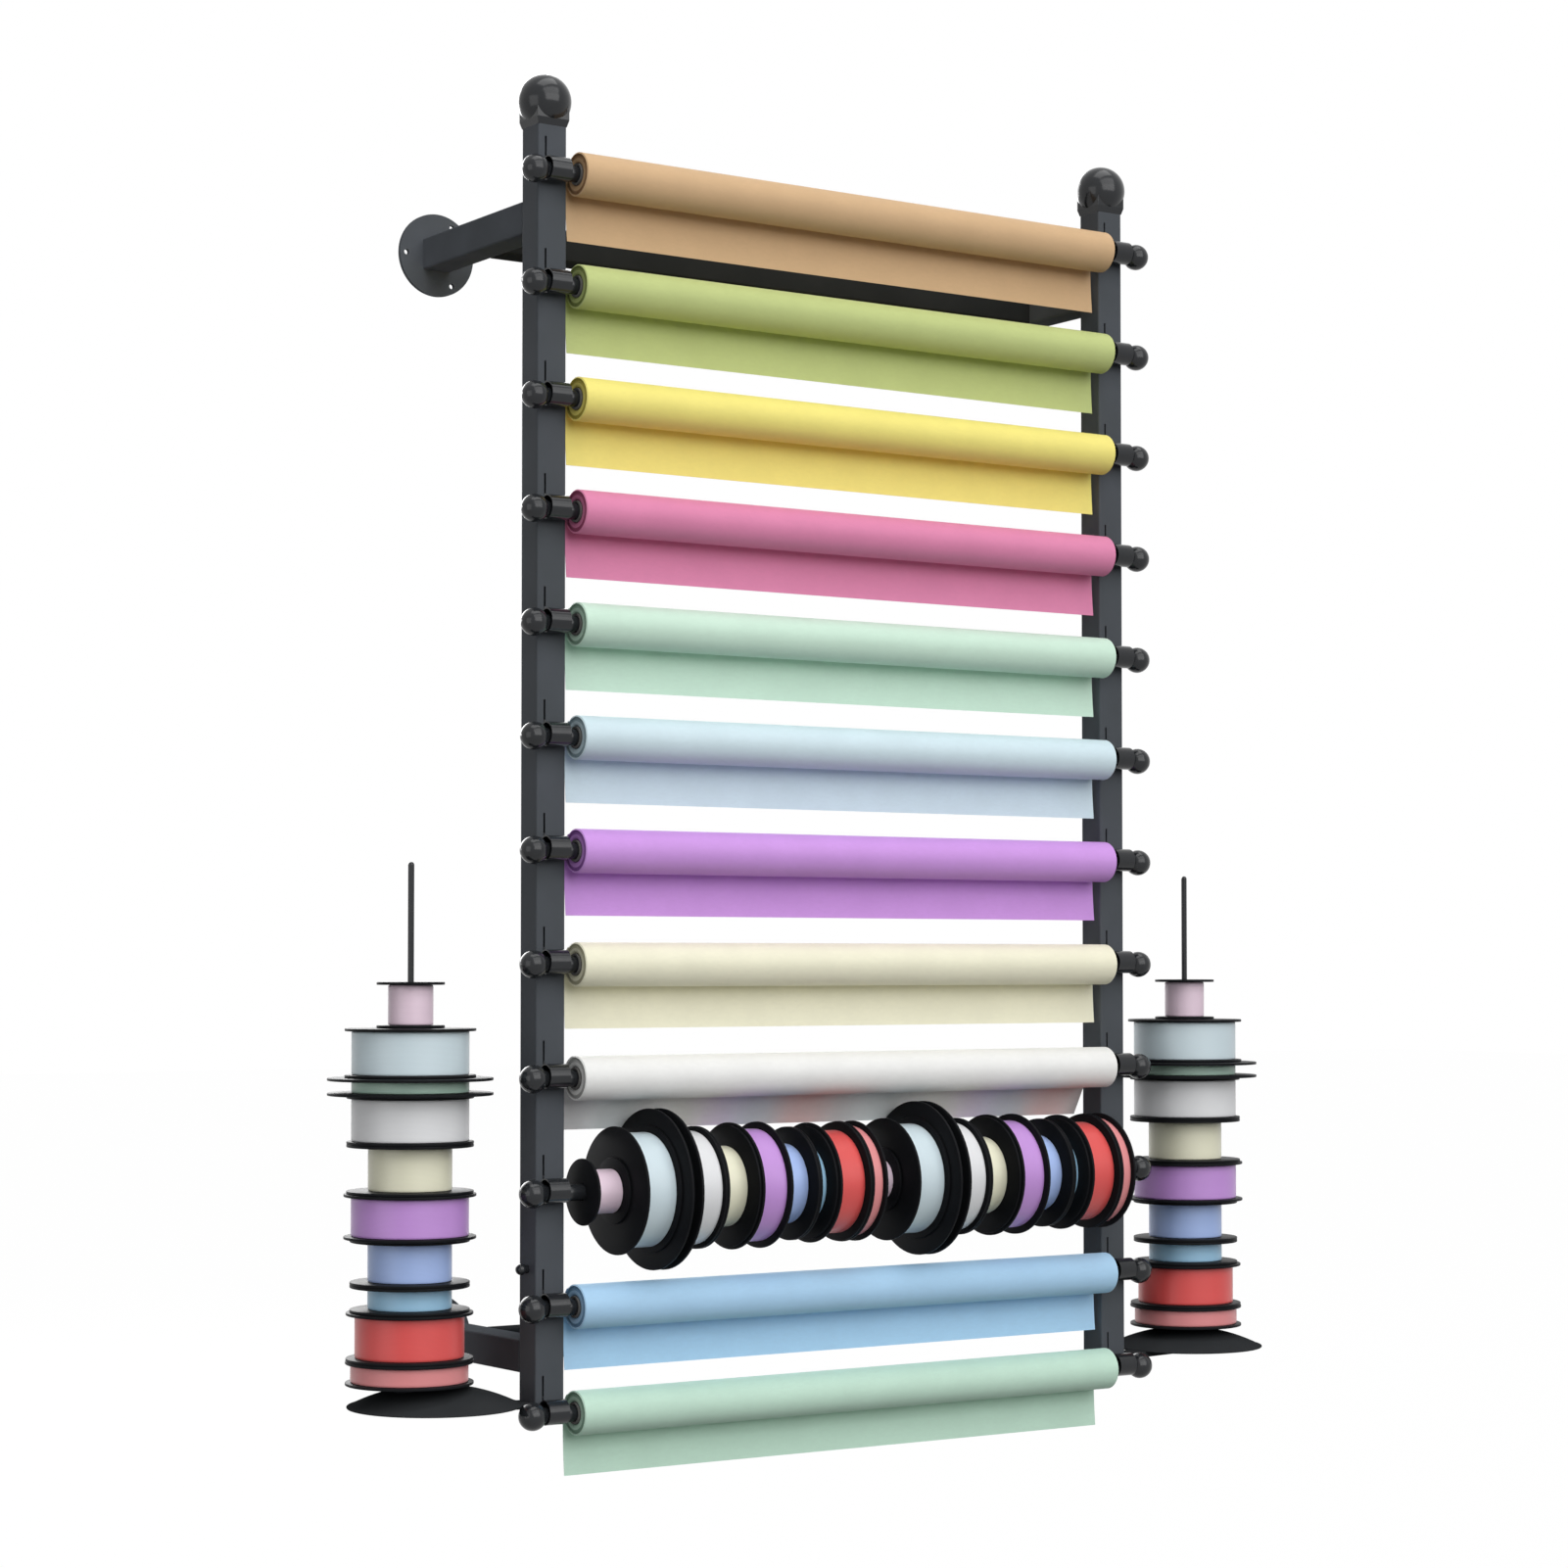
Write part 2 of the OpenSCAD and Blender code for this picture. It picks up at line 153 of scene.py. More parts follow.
cameraSet = {
    "place": (-2.0158, -3.1152, -0.1759),
    "turn": 33.94,  # degrees to the right of straight at the wall
    "tilt": 1.93,  # degrees upwards
    "lens": 78.64,
    "sensor": 36,
    "shift": (0.0019, 0.0414),
    "farEnd": 200,
}
stageSet = {
    "floorDrop": 0.62,  # floor below the lowest paper
    "floorSize": 60,
    "paint": "#5e5e5d",
    "roughness": 0.9,
    "whiteShare": 0.94,  # how far the floor is lifted to white where it is seen
    "whiteLevel": 1.05,
    "sky": "#f3f6fa",
    "skyFill": 0.03,
}
lampSet = [  # three wide panels that join up in front and above, and soft cards at the left and behind
    {"name": "overhead", "place": (0.3, -1.6, 11.0), "aim": (0, -0.25, 0),
     "size": (11.0, 6.0), "power": 540},
    {"name": "frontHigh", "place": (0.4, -9.0, 8.0), "aim": (0, -0.25, 0),
     "size": (13.0, 6.0), "power": 560},
    {"name": "frontFill", "place": (0.4, -8.2, 2.3), "aim": (0, -0.25, -0.2),
     "size": (9.0, 3.9), "power": 335},
    {"name": "leftCard", "place": (-4.5, -1.2, 0.4), "aim": (0, -0.25, 0),
     "size": (3.0, 3.0), "power": 36},
    {"name": "backFill", "place": (1.0, 7.0, 2.5), "aim": (0, -0.25, 0),
     "size": (6.0, 4.0), "power": 340},
]


def setCamera():
    data = bpy.data.cameras.new("photoView")
    data.lens = cameraSet["lens"]
    data.sensor_width = cameraSet["sensor"]
    data.shift_x, data.shift_y = cameraSet["shift"]
    data.clip_end = cameraSet["farEnd"]
    camera = bpy.data.objects.new("photoView", data)
    camera.location = cameraSet["place"]
    camera.rotation_euler = (math.radians(90 + cameraSet["tilt"]), 0, -math.radians(cameraSet["turn"]))
    bpy.context.scene.collection.objects.link(camera)
    bpy.context.scene.camera = camera


def setLamps():
    for lamp in lampSet:
        data = bpy.data.lights.new(lamp["name"], "AREA")
        data.shape = "RECTANGLE"
        data.size, data.size_y = lamp["size"]
        data.energy = lamp["power"]
        obj = bpy.data.objects.new(lamp["name"], data)
        obj.location = lamp["place"]
        toward = Vector(lamp["aim"]) - obj.location
        obj.rotation_euler = toward.to_track_quat("-Z", "Y").to_euler()
        bpy.context.scene.collection.objects.link(obj)


def seenRays(tree):  # 1 for rays that show the background: camera, mirror and glass rays
    rays = addNode(tree, "ShaderNodeLightPath")
    seen = addNode(tree, "ShaderNodeMath", operation="MAXIMUM",
                   inputs={0: rays.outputs["Is Camera Ray"], 1: rays.outputs["Is Glossy Ray"]})
    return addNode(tree, "ShaderNodeMath", operation="MAXIMUM",
                   inputs={0: seen.outputs[0], 1: rays.outputs["Is Transmission Ray"]}).outputs[0]


def setWorld():
    world = bpy.data.worlds.new("paleStudio")
    world.use_nodes = True
    bpy.context.scene.world = world
    tree = world.node_tree
    fill = tree.nodes["Background"]
    fill.inputs["Color"].default_value = hexColor(stageSet["sky"])
    fill.inputs["Strength"].default_value = stageSet["skyFill"]
    white = addNode(tree, "ShaderNodeBackground", inputs={"Color": (1, 1, 1, 1), "Strength": 1})
    mix = addNode(tree, "ShaderNodeMixShader",
                  inputs={0: seenRays(tree), 1: fill.outputs[0], 2: white.outputs[0]})
    tree.links.new(mix.outputs[0], tree.nodes["World Output"].inputs["Surface"])


def setFloor():
    deselectAll()
    bpy.ops.mesh.primitive_plane_add(size=stageSet["floorSize"],
                                     location=(0, 0, cadBox[0][2] - stageSet["floorDrop"]))
    floor = settle(bpy.context.object, "studioFloor")
    material, tree, shader = startMaterial("Pale painted studio floor", Roughness=stageSet["roughness"])
    shader.inputs["Base Color"].default_value = hexColor(stageSet["paint"])
    glow = addNode(tree, "ShaderNodeEmission",
                   inputs={"Color": (1, 1, 1, 1), "Strength": stageSet["whiteLevel"]})
    share = addNode(tree, "ShaderNodeMath", operation="MULTIPLY",
                    inputs={0: seenRays(tree), 1: stageSet["whiteShare"]})
    mix = addNode(tree, "ShaderNodeMixShader",
                  inputs={0: share.outputs[0], 1: shader.outputs[0], 2: glow.outputs[0]})
    tree.links.new(mix.outputs[0], tree.nodes["Material Output"].inputs["Surface"])
    paint(floor, material)


setCamera()
setLamps()
setWorld()
setFloor()
bpy.context.scene.view_settings.view_transform = "Standard"
print("camera and stage set")


# Materials

coatSet = {
    "peel": 2.5 * mm,
    "peelDepth": 0.2 * mm,
    "drift": 71.4 * mm,  # slow change of tone and gloss along a piece
    "toneSpan": (0.3, 0.75),
    "glossSpan": (0.3, 0.7),
    "finishes": {  # turned and bought-in parts come out glossier than sawn tube, arms and dishes duller
        "satin": {"colors": ("#515559", "#585c62"), "specular": 0.02,
                  "roughness": (0.30, 0.38), "bump": 0.03},
        "matt": {"colors": ("#5b5f63", "#666a70"), "specular": 0.0,
                 "roughness": (0.55, 0.65), "bump": 0.06},
        # painted shade: the matt coat painted darker for parts that sit in shade, the crossbeam among them
        "shadedMatt": {"colors": ("#323436", "#393b3d"), "specular": 0.0,
                 "roughness": (0.6, 0.7), "bump": 0.06},
        "gloss": {"colors": ("#232528", "#282a2d"), "specular": 0.30,
                  "roughness": (0.16, 0.18), "bump": 0.0},
    },
    "finishOf": {"post": "satin", "wall": "matt", "crossbeam": "shadedMatt", "ribbon": "shadedMatt", "finial": "gloss",
                 "sockets": "gloss", "rod": "gloss", "spindle": "gloss", "clamp": "gloss"},
}


def powderCoat(kind):
    # Black polyester powder coat on steel: baked on, so it has a fine orange peel.
    # Real peel is about 1 mm across and is drawn coarser so that it shows.
    finish = coatSet["finishes"][kind]
    material, tree, shader = startMaterial(f"Black {kind} powder coat",
                                           Specular_IOR_Level=finish["specular"])
    place = addNode(tree, "ShaderNodeTexCoord").outputs["Object"]
    peel = addNode(tree, "ShaderNodeTexNoise",
                   inputs={"Vector": place, "Scale": 1 / coatSet["peel"], "Detail": 2, "Roughness": 0.4})
    drift = addNode(tree, "ShaderNodeTexNoise",
                    inputs={"Vector": place, "Scale": 1 / coatSet["drift"], "Detail": 3})
    tone = addNode(tree, "ShaderNodeValToRGB", inputs={"Fac": drift.outputs["Fac"]})
    for stop, position, code in zip(tone.color_ramp.elements, coatSet["toneSpan"], finish["colors"]):
        stop.position = position
        stop.color = hexColor(code)
    gloss = addNode(tree, "ShaderNodeMapRange",
                    inputs={"Value": drift.outputs["Fac"],
                            "From Min": coatSet["glossSpan"][0], "From Max": coatSet["glossSpan"][1],
                            "To Min": finish["roughness"][0], "To Max": finish["roughness"][1]})
    bump = addNode(tree, "ShaderNodeBump",
                   inputs={"Height": peel.outputs["Fac"], "Strength": finish["bump"],
                           "Distance": coatSet["peelDepth"]})
    tree.links.new(tone.outputs["Color"], shader.inputs["Base Color"])
    tree.links.new(gloss.outputs["Result"], shader.inputs["Roughness"])
    tree.links.new(bump.outputs["Normal"], shader.inputs["Normal"])
    return material


plasticSet = {
    "colors": ("#161719", "#1c1d20"),
    "specular": 0.03,
    "roughness": (0.34, 0.46),
    "flow": 40 * mm,  # slow change of tone and gloss from the mould
    "grain": 1.5 * mm,
    "grainDepth": 0.1 * mm,
    "bump": 0.05,
}


def spoolPlastic():
    # Black polystyrene, injection moulded: smooth and slightly glossy with a faint flow grain.
    material, tree, shader = startMaterial("Black moulded polystyrene", IOR=1.59,
                                           Specular_IOR_Level=plasticSet["specular"])
    place = addNode(tree, "ShaderNodeTexCoord").outputs["Object"]
    grain = addNode(tree, "ShaderNodeTexNoise",
                    inputs={"Vector": place, "Scale": 1 / plasticSet["grain"], "Detail": 3})
    flow = addNode(tree, "ShaderNodeTexNoise",
                   inputs={"Vector": place, "Scale": 1 / plasticSet["flow"], "Detail": 2})
    tone = addNode(tree, "ShaderNodeValToRGB", inputs={"Fac": flow.outputs["Fac"]})
    for stop, code in zip(tone.color_ramp.elements, plasticSet["colors"]):
        stop.color = hexColor(code)
    gloss = addNode(tree, "ShaderNodeMapRange",
                    inputs={"Value": flow.outputs["Fac"], "To Min": plasticSet["roughness"][0],
                            "To Max": plasticSet["roughness"][1]})
    bump = addNode(tree, "ShaderNodeBump",
                   inputs={"Height": grain.outputs["Fac"], "Strength": plasticSet["bump"],
                           "Distance": plasticSet["grainDepth"]})
    tree.links.new(tone.outputs["Color"], shader.inputs["Base Color"])
    tree.links.new(gloss.outputs["Result"], shader.inputs["Roughness"])
    tree.links.new(bump.outputs["Normal"], shader.inputs["Normal"])
    return material


paperColors = {1: "#d7b48b", 2: "#c8d48d", 3: "#fff189", 4: "#e98fb7", 5: "#d7f4e1", 6: "#dcf0f8",
               7: "#d9a2ef", 8: "#fcf9df", 9: "#f8f8f6", 11: "#b8e0ff", 12: "#cfefdc"}
paperSet = {
    "roughness": 0.55,
    "specular": 0.2,
    "fibre": 3.0 * mm,
    "fibreStretch": 0.35,  # fibres are longer along the web
    "fibreDepth": 0.1 * mm,
    "bump": 0.12,
    "mottle": 40 * mm,
    "toneSpan": (0.12, 0.36),
    "darkShare": 0.95,
}


def wrappingPaper(name, code):
    # Machine-glazed wrapping paper, dyed through: a soft sheen, and short fibres along the web.
    # The fibres are drawn coarser than real ones so that they show.
    material, tree, shader = startMaterial(name, Roughness=paperSet["roughness"], IOR=1.48,
                                           Specular_IOR_Level=paperSet["specular"])
    place = addNode(tree, "ShaderNodeTexCoord").outputs["Object"]
    along = addNode(tree, "ShaderNodeMapping",
                    inputs={"Vector": place, "Scale": (paperSet["fibreStretch"], 1, 1)})
    fibre = addNode(tree, "ShaderNodeTexNoise",
                    inputs={"Vector": along.outputs[0], "Scale": 1 / paperSet["fibre"], "Detail": 4,
                            "Roughness": 0.65})
    mottle = addNode(tree, "ShaderNodeTexNoise",
                     inputs={"Vector": place, "Scale": 1 / paperSet["mottle"], "Detail": 3})
    both = addNode(tree, "ShaderNodeMath", operation="MULTIPLY",
                   inputs={0: fibre.outputs["Fac"], 1: mottle.outputs["Fac"]})
    tone = addNode(tree, "ShaderNodeValToRGB", inputs={"Fac": both.outputs[0]})
    dye = hexColor(code)
    shades = (darker(dye, paperSet["darkShare"]), dye)
    for stop, position, color in zip(tone.color_ramp.elements, paperSet["toneSpan"], shades):
        stop.position = position
        stop.color = color
    bump = addNode(tree, "ShaderNodeBump",
                   inputs={"Height": fibre.outputs["Fac"], "Strength": paperSet["bump"],
                           "Distance": paperSet["fibreDepth"]})
    tree.links.new(tone.outputs["Color"], shader.inputs["Base Color"])
    tree.links.new(bump.outputs["Normal"], shader.inputs["Normal"])
    return material


edgeSet = {
    "roughness": 0.8,
    "turn": 0.55 * mm,
    "turnDepth": 0.3 * mm,
    "bump": 0.35,
    "gapSpan": (0.0, 0.35),  # share of a turn that is gap
    "gapShadeShare": 0.55,  # how dark the painted shade in the gap between two turns is
    # painted shade: place from the core, 0, to the rim, 1, and how light the paint is there
    "shade": ((0.04, 0.5), (0.14, 0.85), (0.46, 0.9), (0.54, 0.62), (0.8, 0.58), (0.88, 0.9)),
    "shadeGamma": 2.4,  # gamma that makes the painted shade stronger in colour where it is darkest
}


def paperEdgesAndShade(name, code, axisY, axisZ, coreR, rollR):
    # Cut edges of the wound paper on a roll's end: one spiral line per turn, paler paper between gaps
    # painted darker as painted shade, and painted shade in the sunk ring of loose turns under the outermost
    # ones and in the hollow at the core. Real turns are about 0.1 mm apart and are drawn about five times
    # as far apart.
    material, tree, shader = startMaterial(name, Roughness=edgeSet["roughness"])
    place = addNode(tree, "ShaderNodeTexCoord").outputs["Object"]
    centred = addNode(tree, "ShaderNodeMapping", inputs={"Vector": place, "Location": (0, -axisY, -axisZ)})
    parts = addNode(tree, "ShaderNodeSeparateXYZ", inputs={"Vector": centred.outputs[0]})
    flat = addNode(tree, "ShaderNodeCombineXYZ", inputs={"Y": parts.outputs["Y"], "Z": parts.outputs["Z"]})
    radius = addNode(tree, "ShaderNodeVectorMath", operation="LENGTH", inputs={0: flat.outputs[0]})
    angle = addNode(tree, "ShaderNodeMath", operation="ARCTAN2",
                    inputs={0: parts.outputs["Z"], 1: parts.outputs["Y"]})
    turns = addNode(tree, "ShaderNodeMath", operation="DIVIDE",
                    inputs={0: radius.outputs["Value"], 1: edgeSet["turn"]})
    share = addNode(tree, "ShaderNodeMath", operation="DIVIDE", inputs={0: angle.outputs[0], 1: math.tau})
    spiral = addNode(tree, "ShaderNodeMath", operation="SUBTRACT",
                     inputs={0: turns.outputs[0], 1: share.outputs[0]})
    line = addNode(tree, "ShaderNodeMath", operation="FRACT", inputs={0: spiral.outputs[0]})
    # the gaps between turns are painted darker, as painted shade
    tone = addNode(tree, "ShaderNodeValToRGB", inputs={"Fac": line.outputs[0]})
    dye = hexColor(code)
    shades = (darker(dye, edgeSet["gapShadeShare"]), dye)
    for stop, position, color in zip(tone.color_ramp.elements, edgeSet["gapSpan"], shades):
        stop.position = position
        stop.color = color
    # painted shade by radius: the sunk ring of loose turns and the hollow at the core are painted darker
    wound = addNode(tree, "ShaderNodeMapRange",
                    inputs={"Value": radius.outputs["Value"], "From Min": coreR, "From Max": rollR})
    shade = addNode(tree, "ShaderNodeValToRGB", inputs={"Fac": wound.outputs["Result"]})
    for position, level in edgeSet["shade"]:
        stop = shade.color_ramp.elements.new(position)
        stop.color = (level, level, level, 1)
    paintedShade = addNode(tree, "ShaderNodeVectorMath", operation="MULTIPLY",
                     inputs={0: tone.outputs["Color"], 1: shade.outputs["Color"]})
    # the painted shade is made stronger in colour where it is darkest
    depth = addNode(tree, "ShaderNodeMapRange",
                    inputs={"Value": shade.outputs["Color"], "To Min": edgeSet["shadeGamma"], "To Max": 1.0})
    paintedShadeDeep = addNode(tree, "ShaderNodeGamma",
                   inputs={"Color": paintedShade.outputs["Vector"], "Gamma": depth.outputs["Result"]})
    bump = addNode(tree, "ShaderNodeBump",
                   inputs={"Height": line.outputs[0], "Strength": edgeSet["bump"],
                           "Distance": edgeSet["turnDepth"]})
    tree.links.new(paintedShadeDeep.outputs["Color"], shader.inputs["Base Color"])
    tree.links.new(bump.outputs["Normal"], shader.inputs["Normal"])
    return material


boardSet = {
    # greyboard's grey painted darker, as painted shade in the hollow at the core
    "colors": ("#5c5b59", "#737270"),
    "roughness": 0.9,
    "fibre": 1.2 * mm,
    "fibreDepth": 0.2 * mm,
    "bump": 0.25,
    "toneSpan": (0.35, 0.65),
}


def coreBoardShaded():
    # Spiral-wound greyboard core: raw recycled fibre, dull and speckled; its grey is painted darker, as
    # painted shade in the hollow at the roll's core.
    material, tree, shader = startMaterial("Spiral wound greyboard with painted shade", Roughness=boardSet["roughness"])
    place = addNode(tree, "ShaderNodeTexCoord").outputs["Object"]
    fibre = addNode(tree, "ShaderNodeTexNoise",
                    inputs={"Vector": place, "Scale": 1 / boardSet["fibre"], "Detail": 5, "Roughness": 0.7})
    tone = addNode(tree, "ShaderNodeValToRGB", inputs={"Fac": fibre.outputs["Fac"]})
    for stop, position, code in zip(tone.color_ramp.elements, boardSet["toneSpan"], boardSet["colors"]):
        stop.position = position
        stop.color = hexColor(code)
    bump = addNode(tree, "ShaderNodeBump",
                   inputs={"Height": fibre.outputs["Fac"], "Strength": boardSet["bump"],
                           "Distance": boardSet["fibreDepth"]})
    tree.links.new(tone.outputs["Color"], shader.inputs["Base Color"])
    tree.links.new(bump.outputs["Normal"], shader.inputs["Normal"])
    return material


satinSet = {
    "roughness": 0.38,
    "sheen": 0.25,
    "sheenRoughness": 0.35,
    "thread": 1.1 * mm,
    "threadDepth": 0.1 * mm,
    "bump": 0.15,
    "shade": 33.3 * mm,  # slow change of tone where the ribbon is wound tighter or looser
    "toneSpan": (0.0, 0.5),
    "darkShare": 0.90,
}
waveBands = 20  # a wave texture of scale 1 has this many radians in a metre


def satinRibbon(name, code, axis):
    # Polyester satin ribbon: fine warp threads run round the spool and give a soft silky sheen.
    # Threads are about 0.15 mm apart and are drawn coarser so that they show.
    material, tree, shader = startMaterial(name, Roughness=satinSet["roughness"], IOR=1.5,
                                           Sheen_Weight=satinSet["sheen"],
                                           Sheen_Roughness=satinSet["sheenRoughness"])
    place = addNode(tree, "ShaderNodeTexCoord").outputs["Object"]
    thread = addNode(tree, "ShaderNodeTexWave", wave_type="BANDS", bands_direction=axis,
                     inputs={"Vector": place, "Scale": math.tau / (waveBands * satinSet["thread"]),
                             "Distortion": 1.2, "Detail": 2, "Detail Scale": 2})
    shade = addNode(tree, "ShaderNodeTexNoise",
                    inputs={"Vector": place, "Scale": 1 / satinSet["shade"], "Detail": 2})
    both = addNode(tree, "ShaderNodeMath", operation="MULTIPLY",
                   inputs={0: thread.outputs["Fac"], 1: shade.outputs["Fac"]})
    tone = addNode(tree, "ShaderNodeValToRGB", inputs={"Fac": both.outputs[0]})
    dye = hexColor(code)
    shades = (darker(dye, satinSet["darkShare"]), dye)
    for stop, position, color in zip(tone.color_ramp.elements, satinSet["toneSpan"], shades):
        stop.position = position
        stop.color = color
    bump = addNode(tree, "ShaderNodeBump",
                   inputs={"Height": thread.outputs["Fac"], "Strength": satinSet["bump"],
                           "Distance": satinSet["threadDepth"]})
    tree.links.new(tone.outputs["Color"], shader.inputs["Base Color"])
    tree.links.new(bump.outputs["Normal"], shader.inputs["Normal"])
    return material


coats = {kind: powderCoat(kind) for kind in coatSet["finishes"]}
blackPlastic = spoolPlastic()
greyBoardShaded = coreBoardShaded()
papers = {k: wrappingPaper(f"Dyed wrapping paper {k:02d}", paperColors[k]) for k in paperRods}
for name, node in nodes.items():
    paint(node, coats[coatSet["finishOf"].get(name.split("_")[0], "satin")])
print("materials made")


# Paper rolls: wound paper on a board core

rollSet = {
    "sides": 96,
    "coreProud": 1.0 * mm,
    "coreWall": 2.0 * mm,
    "wrapGap": 0.2 * mm,
    "coreBore": 8.5 * mm,
    "rim": 1.2 * mm,  # outermost turns, which show the face of the paper
    "endDepth": 3.0 * mm,  # what lies this near to an end shows cut edges
    # each ring from the outside in: its share of the width, and the mm that it stands out or in
    "ringSteps": ((1.2, 0.8), (0.9, -1.5), (1.6, 0.2), (0.9, 1.0),
                  (1.5, -0.3), (1.5, 0.3), (1.3, -0.2), (1.3, -0.9)),
    "coreSteps": ((1, 0), (1, -0.2)),
}


def tubeAlongX(name, outerR, innerR, length, centre, steps):
    deselectAll()
    barrel = length - 2 * steps[0][1] * mm  # the first ring then stands out to the full length
    bpy.ops.mesh.primitive_cylinder_add(vertices=rollSet["sides"], radius=outerR, depth=barrel,
                                        end_fill_type="NGON", location=centre, rotation=(0, math.pi / 2, 0))
    tube = settle(bpy.context.object, name)
    selectFaces(tube, lambda face: abs(face.normal.x) > 0.9)
    unit = (outerR - innerR) / sum(width for width, _ in steps)
    for width, step in steps:
        bpy.ops.mesh.inset(thickness=width * unit, depth=step * mm)
    bpy.ops.mesh.delete(type="FACE")
    bpy.ops.mesh.select_mode(type="EDGE")
    bpy.ops.mesh.select_non_manifold()
    bpy.ops.mesh.bridge_edge_loops()  # the bore
    bpy.ops.mesh.select_all(action="SELECT")
    bpy.ops.mesh.normals_make_consistent(inside=False)
    bpy.ops.object.mode_set(mode="OBJECT")
    smooth(tube, 30)
    return tube


def paperRolls():
    low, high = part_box("paper_roll_01")
    centre = (low + high) / 2
    rollR = (high.z - low.z) / 2
    coreLength = high.x - low.x
    paperLength = coreLength - 2 * rollSet["coreProud"]
    coreR = rollSet["coreBore"] + rollSet["coreWall"]
    firstRoll = tubeAlongX("roll", rollR, coreR + rollSet["wrapGap"], paperLength, centre,
                           rollSet["ringSteps"])
    firstCore = tubeAlongX("core", coreR, rollSet["coreBore"], coreLength, centre, rollSet["coreSteps"])
    for face in firstRoll.data.polygons:
        off = face.center - centre
        nearEnd = abs(off.x) > paperLength / 2 - rollSet["endDepth"]
        if nearEnd and math.hypot(off.y, off.z) < rollR - rollSet["rim"]:
            face.material_index = 1
    for k in paperRods:
        node = f"paper_roll_{k:02d}"
        low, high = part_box(node)
        middle = (low + high) / 2
        body = f"roll_{k:02d}"
        roll = copyPiece(firstRoll, f"wound_paper_{k:02d}", middle - centre)
        cut = paperEdgesAndShade(f"Cut paper edges and painted shade {k:02d}", paperColors[k], middle.y, middle.z, coreR, rollR)
        paint(roll, papers[k], cut)
        core = copyPiece(firstCore, f"paper_core_{k:02d}", middle - centre)
        paint(core, greyBoardShaded)
        for piece in (roll, core):
            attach(piece, body)
            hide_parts(node)
    for piece in (firstRoll, firstCore):
        bpy.data.objects.remove(piece)


paperRolls()
print("paper rolls wound")


# Loose paper ends that hang from the backs of the rolls

sheetSet = {
    "gap": 0.3 * mm,  # off the roll
    "wrap": 50,  # degrees of the roll's back that it still lies on
    "drop": 62.5 * mm,
    "leanDrop": 72 * mm,  # the sheet above the ribbon spools is longer and lies on them
    "thick": 0.3 * mm,
    "across": 60,
    "down": 28,
    "curl": 3.0 * mm,  # how far the lower edge curls in below the roll
    "curlPower": 2.2,
    "wave": 0.7 * mm,
    "waveTurn": 7,  # radians over the width
    "waveStart": 0.3,  # share of the length that stays flat
}


def sheetPoint(share, rollR, drop, curl):
    # How far back and up from the roll's axis: share 0 is the end on the roll, 1 the lower edge
    arc = math.radians(sheetSet["wrap"]) * rollR
    run = share * (arc + drop)
    if run < arc:
        angle = math.radians(sheetSet["wrap"]) - run / rollR
        return rollR * math.cos(angle), rollR * math.sin(angle)
    fall = run - arc
    return rollR - curl * (fall / drop) ** sheetSet["curlPower"], -fall


def leanAngle(rollR):  # the lower edge of the sheet above the ribbon rod lies on the largest spools
    spoolLow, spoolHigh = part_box("spools_rod_left")
    rollLow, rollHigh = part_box(f"paper_roll_{spoolRod - 1:02d}")
    pitch = (rollLow.z + rollHigh.z - spoolLow.z - spoolHigh.z) / 2
    rest = (spoolHigh.z - spoolLow.z) / 2 + sheetSet["gap"]
    reach = math.hypot(rollR, sheetSet["leanDrop"])
    swing = math.acos((reach ** 2 + pitch ** 2 - rest ** 2) / (2 * reach * pitch))
    return swing - math.atan2(rollR, sheetSet["leanDrop"])


def looseSheet(k):
    node = f"paper_sheet_{k:02d}"
    low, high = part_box(node)
    rollLow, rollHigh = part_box(f"paper_roll_{k:02d}")
    axis = (rollLow + rollHigh) / 2
    rollR = (rollHigh.z - rollLow.z) / 2 + sheetSet["gap"]
    width = high.x - low.x
    leans = k == spoolRod - 1
    lean = leanAngle(rollR) if leans else 0.0
    drop = sheetSet["leanDrop"] if leans else sheetSet["drop"]
    curl = 0.0 if leans else sheetSet["curl"]
    wave = 0.0 if leans else sheetSet["wave"]
    phase = random.uniform(0, math.tau)
    deselectAll()
    bpy.ops.mesh.primitive_grid_add(x_subdivisions=sheetSet["across"], y_subdivisions=sheetSet["down"],
                                    size=1)
    sheet = bpy.context.object
    for vertex in sheet.data.vertices:
        share = 0.5 - vertex.co.y
        along = vertex.co.x
        back, up = sheetPoint(share, rollR, drop, curl)
        free = max(0.0, share - sheetSet["waveStart"])
        back += wave * free * math.sin(along * sheetSet["waveTurn"] + phase)
        vertex.co = (axis.x + along * width,
                     axis.y + back * math.cos(lean) - up * math.sin(lean),
                     axis.z + back * math.sin(lean) + up * math.cos(lean))
    sheet = settle(sheet, f"loose_paper_{k:02d}")
    thick = sheet.modifiers.new("thick", "SOLIDIFY")
    thick.thickness = sheetSet["thick"]
    thick.offset = 1
    makeActive(sheet)
    bpy.ops.object.modifier_apply(modifier="thick")
    smooth(sheet, 40)
    paint(sheet, papers[k])
    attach(sheet, "frame")
    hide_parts(node)
    rests = [f"wound_paper_{k:02d}"]
    if leans:
        rests += [f"spool_rod_{side}_{largestSpool:02d}" for side in sides]


for k in paperRods:
    looseSheet(k)
print("loose sheets hung")


# Ribbon spools and their windings

